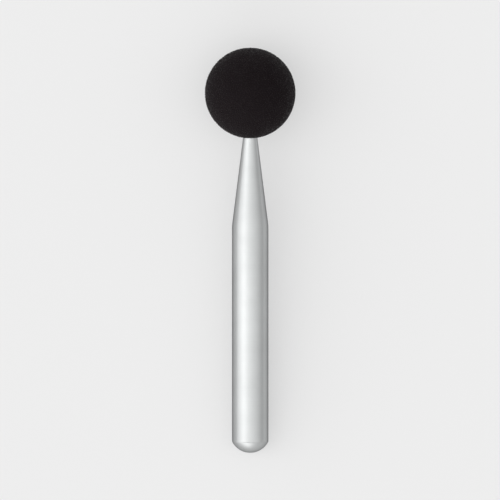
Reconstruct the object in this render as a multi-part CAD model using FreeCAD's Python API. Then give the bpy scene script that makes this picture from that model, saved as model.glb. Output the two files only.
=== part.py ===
import FreeCAD, Part
import math
import os

# Round dental bur with a friction-grip shank, in millimetres.
#
# The bur is one turned piece: domed shank end, shank, tapered neck and ball head. It is turned about its own
# axis, +Z, with the tip of the domed end at zero and the head at the top.
#
# The finished bur then lies as it rests on a table, on its head and on the rim of its domed end, with the head
# towards +Y. The origin is on the table, under the middle of the bur's bounding box.

# Shank
shank_diameter = 1.60        # friction-grip size
shank_length = 9.49          # from the crown's height to the neck
end_dome_height = 0.50       # crown of the free end
end_rim_radius = 0.08        # rounding between crown and cylinder

# Neck
neck_length = 3.87           # taper, from the shank to the head's surface
neck_tip_diameter = 0.63     # where the taper runs into the head
shoulder_radius = 2.00       # soft corner between cylinder and taper
head_fillet_radius = 0.05    # between the taper and the head

# Head
head_diameter = 4.00         # over the grit

# Radii and stations along the axis
shank_radius = shank_diameter / 2
neck_tip_radius = neck_tip_diameter / 2
head_radius = head_diameter / 2
dome_radius = (shank_radius ** 2 + end_dome_height ** 2) / (2 * end_dome_height)


def at(radius, z):
    """A point of the turning profile, in the XZ plane."""
    return FreeCAD.Vector(radius, 0, z)


def line(start, end):
    return Part.LineSegment(start, end).toShape()


def arc(centre, start, end):
    """The shorter arc round a centre from start to end."""
    halfway = (start - centre) + (end - centre)
    halfway.Length = (start - centre).Length
    return Part.Arc(start, centre + halfway, end).toShape()


def towards(start, end, distance):
    """The point at this distance from start, in the direction of end."""
    return start + (end - start).normalize() * distance


tip = at(0, 0)
dome_centre = at(0, dome_radius)
shoulder = at(shank_radius, end_dome_height + shank_length)
neck_tip = at(neck_tip_radius, shoulder.z + neck_length)
head_centre = at(0, neck_tip.z + math.sqrt(head_radius ** 2 - neck_tip_radius ** 2))
head_top = at(0, head_centre.z + head_radius)

axis = FreeCAD.Vector(0, 0, 1)
along_neck = (neck_tip - shoulder).normalize()
out_of_neck = at(along_neck.z, -along_neck.x)

# Rim of the domed end: an arc inside the cylinder that touches the crown
rim_ring_radius = shank_radius - end_rim_radius
rim_depth = math.sqrt((dome_radius - end_rim_radius) ** 2 - rim_ring_radius ** 2)
rim_centre = at(rim_ring_radius, dome_centre.z - rim_depth)
crown_edge = towards(dome_centre, rim_centre, dome_radius)
rim_end = rim_centre + at(end_rim_radius, 0)

# Corner between cylinder and taper
shoulder_angle = math.atan2(shank_radius - neck_tip_radius, neck_length)
shoulder_reach = shoulder_radius * math.tan(shoulder_angle / 2)
shoulder_start = shoulder - axis * shoulder_reach
shoulder_end = shoulder + along_neck * shoulder_reach
shoulder_centre = shoulder_start - at(shoulder_radius, 0)

# Fillet between taper and head: it touches both, so its centre is one radius off the taper and off the ball
beside_taper = shoulder + out_of_neck * head_fillet_radius - head_centre
before_head = -beside_taper.dot(along_neck)
off_head = head_radius + head_fillet_radius
taper_reach = before_head - math.sqrt(before_head ** 2 - beside_taper.Length ** 2 + off_head ** 2)
fillet_centre = head_centre + beside_taper + along_neck * taper_reach
fillet_start = fillet_centre - out_of_neck * head_fillet_radius
fillet_end = towards(head_centre, fillet_centre, head_radius)


def make_round_bur():
    """The upright bur: its closed profile, turned once round the axis."""
    profile = Part.Wire([
        arc(dome_centre, tip, crown_edge),
        arc(rim_centre, crown_edge, rim_end),
        line(rim_end, shoulder_start),
        arc(shoulder_centre, shoulder_start, shoulder_end),
        line(shoulder_end, fillet_start),
        arc(fillet_centre, fillet_start, fillet_end),
        arc(head_centre, fillet_end, head_top),
        line(head_top, tip),
    ])
    return Part.Face(profile).revolve(tip, axis, 360)


def lay_down(shape):
    """Leans the upright bur over onto the table, until its head and its rim touch, head towards +Y."""
    reach = head_centre.z - rim_centre.z
    slope = math.asin((head_radius - end_rim_radius) / math.hypot(reach, rim_centre.x))
    slope -= math.atan2(rim_centre.x, reach)
    tail = (head_centre.z - dome_centre.z) * math.cos(slope) + dome_radius
    laid = shape.copy()
    laid.rotate(head_centre, FreeCAD.Vector(1, 0, 0), math.degrees(slope) - 90)
    laid.translate(FreeCAD.Vector(0, (tail - head_radius) / 2, head_radius - head_centre.z))
    return laid


os.makedirs("parts", exist_ok=True)
lay_down(make_round_bur()).exportStep("parts/round_bur.step")
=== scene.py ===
import bpy
import bmesh
import math
from mathutils import Matrix, Vector


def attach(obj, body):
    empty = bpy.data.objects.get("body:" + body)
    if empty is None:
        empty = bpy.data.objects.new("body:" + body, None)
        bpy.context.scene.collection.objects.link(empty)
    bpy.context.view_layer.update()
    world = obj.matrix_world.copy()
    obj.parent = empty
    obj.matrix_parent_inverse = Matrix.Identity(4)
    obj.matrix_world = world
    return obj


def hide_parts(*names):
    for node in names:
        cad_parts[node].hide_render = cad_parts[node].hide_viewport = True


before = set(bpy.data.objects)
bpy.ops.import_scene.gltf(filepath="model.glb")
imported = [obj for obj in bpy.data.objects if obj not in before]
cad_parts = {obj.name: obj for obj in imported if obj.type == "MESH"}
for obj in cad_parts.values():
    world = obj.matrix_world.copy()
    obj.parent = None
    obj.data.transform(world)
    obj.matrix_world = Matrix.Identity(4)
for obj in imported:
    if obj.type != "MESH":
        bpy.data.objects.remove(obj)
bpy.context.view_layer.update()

# Shank and neck
# The whole bur is one piece of hardened tool steel, turned and then ground round. Its shank and neck are
# bare, and the free end is crowned, so that it finds its way into the chuck.

mm = 0.001

shank_radius = 0.80 * mm
shank_length = 9.49 * mm
crown_height = 0.50 * mm
rim_radius = 0.08 * mm
neck_length = 3.87 * mm
neck_tip_radius = 0.315 * mm
shoulder_radius = 2.00 * mm
fillet_radius = 0.05 * mm
head_radius = 2.00 * mm         # over the tips of the grit
skin_radius = 1.975 * mm        # of the ball between the grains

crown_radius = (shank_radius ** 2 + crown_height ** 2) / (2 * crown_height)
crown_centre = Vector((0, crown_radius))
shoulder = Vector((shank_radius, crown_height + shank_length))
neck_tip = Vector((neck_tip_radius, shoulder.y + neck_length))
head_centre = Vector((0, neck_tip.y + math.sqrt(head_radius ** 2 - neck_tip_radius ** 2)))
along_neck = (neck_tip - shoulder).normalized()
out_of_neck = Vector((along_neck.y, -along_neck.x))

# The upright bur leans over until its head and its rim touch the floor
rim_ring = shank_radius - rim_radius
rim_depth = math.sqrt((crown_radius - rim_radius) ** 2 - rim_ring ** 2)
rim_centre = Vector((rim_ring, crown_radius - rim_depth))
head_reach = head_centre.y - rim_centre.y
rim_bearing = math.atan2(rim_ring, head_reach)
lean = math.asin((head_radius - rim_radius) / math.hypot(head_reach, rim_ring)) - rim_bearing
tail = (head_centre.y - crown_radius) * math.cos(lean) + crown_radius
head_place = Vector((0, (tail - head_radius) / 2, head_radius))
turn_down = Matrix.Rotation(lean - math.pi / 2, 4, "X")
laid = Matrix.Translation(head_place) @ turn_down @ Matrix.Translation((0, 0, -head_centre.y))


def sweep(centre, start, end, steps):
    """Points of the shorter arc round a centre, from start to end, in the plane of the turning profile."""
    first = start - centre
    turn = first.angle_signed(end - centre)
    points = []
    for step in range(steps + 1):
        angle = turn * step / steps
        c, s = math.cos(angle), math.sin(angle)
        points.append(centre + Vector((c * first.x + s * first.y, c * first.y - s * first.x)))
    return points


def straight(start, end, steps):
    """Points of a straight stretch of the profile, after its start."""
    return [start.lerp(end, step / steps) for step in range(1, steps + 1)]


def turned(name, profile, sides=144):
    """A closed mesh turned about +Z, from a profile that starts and ends on the axis."""
    rings = profile[1:-1]
    vertices = [(0, 0, profile[0].y)]
    for point in rings:
        for side in range(sides):
            angle = 2 * math.pi * side / sides
            vertices.append((point.x * math.cos(angle), point.x * math.sin(angle), point.y))
    vertices.append((0, 0, profile[-1].y))
    last = len(vertices) - 1
    top = 1 + (len(rings) - 1) * sides
    faces = []
    for side in range(sides):
        after = (side + 1) % sides
        faces.append((0, 1 + after, 1 + side))
        for ring in range(len(rings) - 1):
            low = 1 + ring * sides
            high = low + sides
            faces.append((low + side, low + after, high + after, high + side))
        faces.append((top + side, top + after, last))
    mesh = bpy.data.meshes.new(name)
    mesh.from_pydata(vertices, [], faces)
    mesh.shade_smooth()
    mesh.set_sharp_from_angle(angle=math.radians(40))
    return mesh


def laid_piece(name, profile, material):
    """A turned stretch of the bur in its finish, laid down on the table."""
    mesh = turned(name, profile)
    mesh.transform(laid)
    mesh.materials.append(material)
    piece = bpy.data.objects.new(name, mesh)
    bpy.context.collection.objects.link(piece)
    return piece


def new_finish(name):
    """A new material, with its node tree and its shader."""
    material = bpy.data.materials.new(name)
    material.use_nodes = True
    return material, material.node_tree, material.node_tree.nodes["Principled BSDF"]


def noise(tree, place, scale, detail, dimensions="3D"):
    """Noise at a place, or along a line where it has one dimension."""
    node = tree.nodes.new("ShaderNodeTexNoise")
    node.noise_dimensions = dimensions
    node.inputs["Scale"].default_value = scale
    node.inputs["Detail"].default_value = detail
    tree.links.new(place, node.inputs["W" if dimensions == "1D" else "Vector"])
    return node.outputs["Fac"]


def ranged(tree, value, before, after, smooth=False):
    """A value carried from the range before to the range after, and held at its ends."""
    node = tree.nodes.new("ShaderNodeMapRange")
    node.interpolation_type = "SMOOTHSTEP" if smooth else "LINEAR"
    node.inputs["From Min"].default_value = before[0]
    node.inputs["From Max"].default_value = before[1]
    node.inputs["To Min"].default_value = after[0]
    node.inputs["To Max"].default_value = after[1]
    tree.links.new(value, node.inputs["Value"])
    return node.outputs["Result"]


def worked_out(tree, operation, *values):
    """What a Math node makes of its values, each a number or another node's output."""
    node = tree.nodes.new("ShaderNodeMath")
    node.operation = operation
    for socket, value in zip(node.inputs, values):
        if isinstance(value, float):
            socket.default_value = value
        else:
            tree.links.new(value, socket)
    return node.outputs["Value"]


def mixed(tree, share, first, second):
    """A blend of two values, each a number or another node's output."""
    node = tree.nodes.new("ShaderNodeMix")
    for name, value in (("Factor", share), ("A", first), ("B", second)):
        if isinstance(value, float):
            node.inputs[name].default_value = value
        else:
            tree.links.new(value, node.inputs[name])
    return node.outputs["Result"]


def relief(tree, height, strength, distance):
    """The normals of a surface with this fine relief."""
    node = tree.nodes.new("ShaderNodeBump")
    node.inputs["Strength"].default_value = strength
    node.inputs["Distance"].default_value = distance
    tree.links.new(height, node.inputs["Height"])
    return node.outputs["Normal"]


def toned(tree, value, *stops):
    """The colour that a value has on a ramp between two stops, each a position and a colour."""
    node = tree.nodes.new("ShaderNodeValToRGB")
    for element, (position, colour) in zip(node.color_ramp.elements, stops):
        element.position = position
        element.color = (*colour, 1)
    tree.links.new(value, node.inputs["Fac"])
    return node.outputs["Color"]


# The fillet touches the taper and the head, so its centre is one radius off both
beside_taper = shoulder + out_of_neck * fillet_radius - head_centre
before_head = -beside_taper.dot(along_neck)
off_head = skin_radius + fillet_radius
taper_reach = before_head - math.sqrt(before_head ** 2 - beside_taper.length_squared + off_head ** 2)
fillet_centre = head_centre + beside_taper + along_neck * taper_reach
taper_end = fillet_centre - out_of_neck * fillet_radius
ball_start = head_centre + (fillet_centre - head_centre).normalized() * skin_radius
fillet = sweep(fillet_centre, taper_end, ball_start, steps=6)
halfway = len(fillet) // 2
seam = Vector((0, fillet[halfway].y))

# The profile from the tip of the crown to halfway round the fillet
crown_edge = crown_centre + (rim_centre - crown_centre).normalized() * crown_radius
wall_start = rim_centre + Vector((rim_radius, 0))
shoulder_reach = shoulder_radius * math.tan(math.atan2(shank_radius - neck_tip_radius, neck_length) / 2)
wall_end = shoulder - Vector((0, shoulder_reach))
taper_start = shoulder + along_neck * shoulder_reach
bare_profile = sweep(crown_centre, Vector((0, 0)), crown_edge, steps=20)
bare_profile += sweep(rim_centre, crown_edge, wall_start, steps=6)[1:]
bare_profile += straight(bare_profile[-1], wall_end, steps=24)
bare_profile += sweep(wall_end - Vector((shoulder_radius, 0)), wall_end, taper_start, steps=10)[1:]
bare_profile += straight(taper_start, taper_end, steps=16)
bare_profile += fillet[1:halfway + 1] + [seam]

ground_steel, tree, steel = new_finish("ground steel")
steel.inputs["Metallic"].default_value = 1.0
steel.inputs["Specular Tint"].default_value = (0.28, 0.28, 0.28, 1)

# Upright coordinates of the bur, so that the grinding marks run round its axis
place = tree.nodes.new("ShaderNodeTexCoord")
upright = tree.nodes.new("ShaderNodeMapping")
upright.vector_type = "TEXTURE"
upright.inputs["Location"].default_value = laid.translation
upright.inputs["Rotation"].default_value = (lean - math.pi / 2, 0, 0)
tree.links.new(place.outputs["Object"], upright.inputs["Vector"])
split = tree.nodes.new("ShaderNodeSeparateXYZ")
tree.links.new(upright.outputs["Vector"], split.inputs["Vector"])
along_axis = split.outputs["Z"]

# Grinding marks 0.015 mm apart and finer
marks = noise(tree, along_axis, scale=66000, detail=2, dimensions="1D")
tree.links.new(relief(tree, marks, strength=0.8, distance=0.0006 * mm), steel.inputs["Normal"])

# Wider bands where the wheel dwelt are a little duller, and so is the crown, which isn't ground like the wall
bands = noise(tree, along_axis, scale=2600, detail=2, dimensions="1D")
band_dullness = ranged(tree, bands, (0.0, 1.0), (0.28, 0.33))
wall_begins = (crown_height - rim_radius, crown_height + rim_radius)
crown_dullness = ranged(tree, along_axis, wall_begins, (0.10, 0.0), smooth=True)
tree.links.new(worked_out(tree, "ADD", band_dullness, crown_dullness), steel.inputs["Roughness"])

# Faint clouding of the bare metal, and painted shade in the grinding marks: the colour is darker at their
# bottoms
clouds = noise(tree, upright.outputs["Vector"], scale=900, detail=4)
clouding_and_groove_shade = mixed(tree, 0.5, clouds, marks)
steel_tone = toned(tree, clouding_and_groove_shade, (0.36, (0.466, 0.476, 0.476)), (0.64, (0.520, 0.531, 0.531)))
tree.links.new(steel_tone, steel.inputs["Base Color"])

bare = laid_piece("shank_and_neck", bare_profile, ground_steel)
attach(bare, "root")
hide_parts("round_bur")

# Head
# The same turned piece goes on as the ball. It is black and dull from halfway round the fillet, and stands a
# little lower than the tips of the grit.

head_profile = [seam] + fillet[halfway:]
head_profile += sweep(head_centre, ball_start, head_centre + Vector((0, skin_radius)), steps=72)[1:]

black_skin, tree, skin = new_finish("black skin")
skin.inputs["Base Color"].default_value = (0.0078, 0.0054, 0.0063, 1)
skin.inputs["Specular IOR Level"].default_value = 0.06
place = tree.nodes.new("ShaderNodeTexCoord")
pits = noise(tree, place.outputs["Object"], scale=14000, detail=5)
tree.links.new(relief(tree, pits, strength=0.6, distance=0.01 * mm), skin.inputs["Normal"])
tree.links.new(ranged(tree, pits, (0.0, 1.0), (0.55, 0.80)), skin.inputs["Roughness"])

head = laid_piece("black_head", head_profile, black_skin)
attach(head, "root")
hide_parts("round_bur")

# Diamond grit
# Blocky diamond grains of about 0.11 mm, scattered over the ball and sunk by more than half into its skin.
# Their tips make the head's full diameter, and the ring next to the neck stays bare.

grain_radius = 0.055 * mm
tallest_tip = 0.005 * mm        # past the head's radius, of a grain that stands on a corner
grain_seat_radius = head_radius + tallest_tip - grain_radius
grain_spacing = 0.075 * mm
grains_per_square_metre = 400e6
bare_angle = math.radians(9.9)
slimmest_grain = 0.90           # of the full size, each way

grain_mesh = bpy.data.meshes.new("grain")
shape = bmesh.new()
for a in (-1, 1):
    for b in (-1, 1):
        for corner in ((a, b, 0), (a, 0, b), (0, a, b)):
            shape.verts.new(Vector(corner).normalized())
bmesh.ops.convex_hull(shape, input=shape.verts)
bmesh.ops.recalc_face_normals(shape, faces=shape.faces)
shape.to_mesh(grain_mesh)
shape.free()
grain = bpy.data.objects.new("grain", grain_mesh)
bpy.context.collection.objects.link(grain)

black_grit, tree, grit_shader = new_finish("black diamond grit")
grit_shader.inputs["Specular IOR Level"].default_value = 0.10
place = tree.nodes.new("ShaderNodeTexCoord")
patches = noise(tree, place.outputs["Object"], scale=6000, detail=2)
grit_tone = toned(tree, patches, (0.35, (0.0047, 0.0021, 0.0029)), (0.65, (0.0087, 0.0057, 0.0066)))
tree.links.new(grit_tone, grit_shader.inputs["Base Color"])
tree.links.new(ranged(tree, patches, (0.0, 1.0), (0.22, 0.45)), grit_shader.inputs["Roughness"])

scatter = bpy.data.node_groups.new("scatter grit", "GeometryNodeTree")
for label, kind, value in (
    ("Seat radius", "NodeSocketFloat", grain_seat_radius),
    ("Grain radius", "NodeSocketFloat", grain_radius),
    ("Spacing", "NodeSocketFloat", grain_spacing),
    ("Bare below", "NodeSocketFloat", -grain_seat_radius * math.cos(bare_angle)),
    ("Slimmest", "NodeSocketFloat", slimmest_grain),
    ("Seed", "NodeSocketInt", 7),
    ("Grain", "NodeSocketObject", None),
    ("Finish", "NodeSocketMaterial", None),
):
    socket = scatter.interface.new_socket(name=label, in_out="INPUT", socket_type=kind)
    if value is not None:
        socket.default_value = value
scatter.interface.new_socket(name="Grit", in_out="OUTPUT", socket_type="NodeSocketGeometry")

nodes, links = scatter.nodes, scatter.links
sizes = nodes.new("NodeGroupInput")
result = nodes.new("NodeGroupOutput")

# Points on the ball, but not next to the neck
ball = nodes.new("GeometryNodeMeshIcoSphere")
ball.inputs["Subdivisions"].default_value = 5
links.new(sizes.outputs["Seat radius"], ball.inputs["Radius"])
points = nodes.new("GeometryNodeDistributePointsOnFaces")
points.distribute_method = "POISSON"
points.inputs["Density Max"].default_value = grains_per_square_metre
links.new(ball.outputs["Mesh"], points.inputs["Mesh"])
links.new(sizes.outputs["Spacing"], points.inputs["Distance Min"])
links.new(sizes.outputs["Seed"], points.inputs["Seed"])
where = nodes.new("GeometryNodeInputPosition")
height = nodes.new("ShaderNodeSeparateXYZ")
links.new(where.outputs["Position"], height.inputs["Vector"])
near_neck = nodes.new("FunctionNodeCompare")
near_neck.data_type = "FLOAT"
near_neck.operation = "LESS_THAN"
links.new(height.outputs["Z"], near_neck.inputs["A"])
links.new(sizes.outputs["Bare below"], near_neck.inputs["B"])
clear = nodes.new("GeometryNodeDeleteGeometry")
clear.domain = "POINT"
links.new(points.outputs["Points"], clear.inputs["Geometry"])
links.new(near_neck.outputs["Result"], clear.inputs["Selection"])

# A grain on each point, turned any way and a little slimmer in places
tumble = nodes.new("FunctionNodeRandomValue")
tumble.data_type = "FLOAT_VECTOR"
tumble.inputs["Max"].default_value = (2 * math.pi, 2 * math.pi, 2 * math.pi)
links.new(sizes.outputs["Seed"], tumble.inputs["Seed"])
stretch = nodes.new("FunctionNodeRandomValue")
stretch.data_type = "FLOAT_VECTOR"
links.new(sizes.outputs["Slimmest"], stretch.inputs["Min"])
links.new(sizes.outputs["Seed"], stretch.inputs["Seed"])
size_of_grain = nodes.new("ShaderNodeVectorMath")
size_of_grain.operation = "SCALE"
links.new(stretch.outputs["Value"], size_of_grain.inputs["Vector"])
links.new(sizes.outputs["Grain radius"], size_of_grain.inputs["Scale"])
pattern_grain = nodes.new("GeometryNodeObjectInfo")
links.new(sizes.outputs["Grain"], pattern_grain.inputs["Object"])
scattered = nodes.new("GeometryNodeInstanceOnPoints")
links.new(clear.outputs["Geometry"], scattered.inputs["Points"])
links.new(pattern_grain.outputs["Geometry"], scattered.inputs["Instance"])
links.new(tumble.outputs["Value"], scattered.inputs["Rotation"])
links.new(size_of_grain.outputs["Vector"], scattered.inputs["Scale"])
real = nodes.new("GeometryNodeRealizeInstances")
links.new(scattered.outputs["Instances"], real.inputs["Geometry"])
finish = nodes.new("GeometryNodeSetMaterial")
links.new(real.outputs["Geometry"], finish.inputs["Geometry"])
links.new(sizes.outputs["Finish"], finish.inputs["Material"])
links.new(finish.outputs["Geometry"], result.inputs["Grit"])

grit = bpy.data.objects.new("diamond_grit", bpy.data.meshes.new("diamond_grit"))
bpy.context.collection.objects.link(grit)
modifier = grit.modifiers.new("scatter grit", "NODES")
modifier.node_group = scatter
sockets = {item.name: item.identifier for item in scatter.interface.items_tree}
modifier[sockets["Grain"]] = grain
modifier[sockets["Finish"]] = black_grit
view_layer = bpy.context.evaluated_depsgraph_get()
grit_mesh = bpy.data.meshes.new_from_object(grit.evaluated_get(view_layer))
grit.modifiers.clear()
grit.data = grit_mesh
grit_mesh.transform(laid @ Matrix.Translation((0, 0, head_centre.y)))
bpy.data.objects.remove(grain)
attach(grit, "root")

# Table
# A plain pale surface under the bur, much larger than the view. To the camera and to the steel it keeps some
# of its own tone in the shade, so that the bur's shadow is soft and light.

table_tone = 0.83
tone_kept_in_shade = 0.5

table_mesh = bpy.data.meshes.new("table")
table_mesh.from_pydata([(-1, -1, 0), (1, -1, 0), (1, 1, 0), (-1, 1, 0)], [], [(0, 1, 2, 3)])
table = bpy.data.objects.new("table", table_mesh)
bpy.context.collection.objects.link(table)
pale, tree, card = new_finish("pale table")
card.inputs["Base Color"].default_value = (0.76, 0.76, 0.76, 1)
card.inputs["Roughness"].default_value = 1.0
card.inputs["Specular IOR Level"].default_value = 0.0
own_tone = tree.nodes.new("ShaderNodeEmission")
own_tone.inputs["Strength"].default_value = table_tone
rays = tree.nodes.new("ShaderNodeLightPath").outputs
seen = worked_out(tree, "MAXIMUM", rays["Is Camera Ray"], rays["Is Glossy Ray"])
seen = worked_out(tree, "MAXIMUM", seen, rays["Is Transmission Ray"])
table_look = tree.nodes.new("ShaderNodeMixShader")
tree.links.new(worked_out(tree, "MULTIPLY", seen, tone_kept_in_shade), table_look.inputs["Fac"])
tree.links.new(card.outputs["BSDF"], table_look.inputs[1])
tree.links.new(own_tone.outputs["Emission"], table_look.inputs[2])
tree.links.new(table_look.outputs["Shader"], tree.nodes["Material Output"].inputs["Surface"])
table_mesh.materials.append(pale)

# Light
# A long bow of pale paper is bent over the bur from left to right and lit so that it is brightest halfway up
# on the left. Paper of the same tones stands low all round, and the rest of the room is dimmer.

room_level = 0.54
paper_gain = 1.6
bow_end_levels = (0.56, 0.0)    # at the left and the right horizon
bow_levels = ((-64, 0.74), (-43, 1.00), (-15, 0.75), (15, 0.53), (45, 0.335), (75, 0.12))   # by tilt
bow_shift = 0.06
paper_edge = (0.28, 0.44)       # half the bow's width and the low paper's height, from full to faded
front = (-0.8, -0.3)            # the part of the room in front of the shank's end
under_table_level = 0.851

room = bpy.data.worlds.new("room")
bpy.context.scene.world = room
room.use_nodes = True
tree = room.node_tree
direction = tree.nodes.new("ShaderNodeTexCoord")
parts = tree.nodes.new("ShaderNodeSeparateXYZ")
tree.links.new(direction.outputs["Generated"], parts.inputs["Vector"])
x, y, z = parts.outputs

tilt = worked_out(tree, "ARCTAN2", x, z)
bow = tree.nodes.new("ShaderNodeValToRGB")
bow.color_ramp.interpolation = "CARDINAL"
for stop, level in zip(bow.color_ramp.elements, bow_end_levels):
    stop.color = (level, level, level, 1)
for tilt_degrees, level in bow_levels:
    stop = bow.color_ramp.elements.new((tilt_degrees + 90) / 180)
    stop.color = (level, level, level, 1)
tree.links.new(ranged(tree, tilt, (-math.pi / 2, math.pi / 2), (0.0, 1.0)), bow.inputs["Fac"])

# The bow's middle stands a little towards the shank's end. The low paper stands higher in front of that end
# and is a little brighter there, for the crown.
off_middle = worked_out(tree, "ABSOLUTE", worked_out(tree, "ADD", y, bow_shift))
low_part = worked_out(tree, "MULTIPLY", z, ranged(tree, y, front, (0.55, 1.0)))
lit_part = worked_out(tree, "MINIMUM", off_middle, low_part)
paper = ranged(tree, lit_part, paper_edge, (paper_gain, 0.0), smooth=True)
paper_level = worked_out(tree, "MULTIPLY", paper, ranged(tree, y, front, (1.35, 1.0)))
radiance = worked_out(tree, "MULTIPLY_ADD", bow.outputs["Color"], paper_level, room_level)

# Under the table's level the room is as pale as the table
under_table = worked_out(tree, "LESS_THAN", z, 0.0)
all_round = mixed(tree, under_table, radiance, under_table_level)
tree.links.new(all_round, tree.nodes["Background"].inputs["Strength"])
tree.nodes["Background"].inputs["Color"].default_value = (1, 1, 1, 1)

# Camera
# It looks straight down on the bur without perspective, with the head at the top of the picture.

pixels_per_metre = 22784
picture_width = 500             # in pixels, as the next two are
head_above_middle = 156.95
axis_right_of_middle = 0.2

eye = bpy.data.cameras.new("camera")
eye.type = "ORTHO"
eye.ortho_scale = picture_width / pixels_per_metre
eye.clip_start = 0.001
eye.clip_end = 10
camera = bpy.data.objects.new("camera", eye)
camera.location.x = -axis_right_of_middle / pixels_per_metre
camera.location.y = head_place.y - head_above_middle / pixels_per_metre
camera.location.z = 0.2
bpy.context.collection.objects.link(camera)
bpy.context.scene.camera = camera
bpy.context.scene.view_settings.view_transform = "Standard"
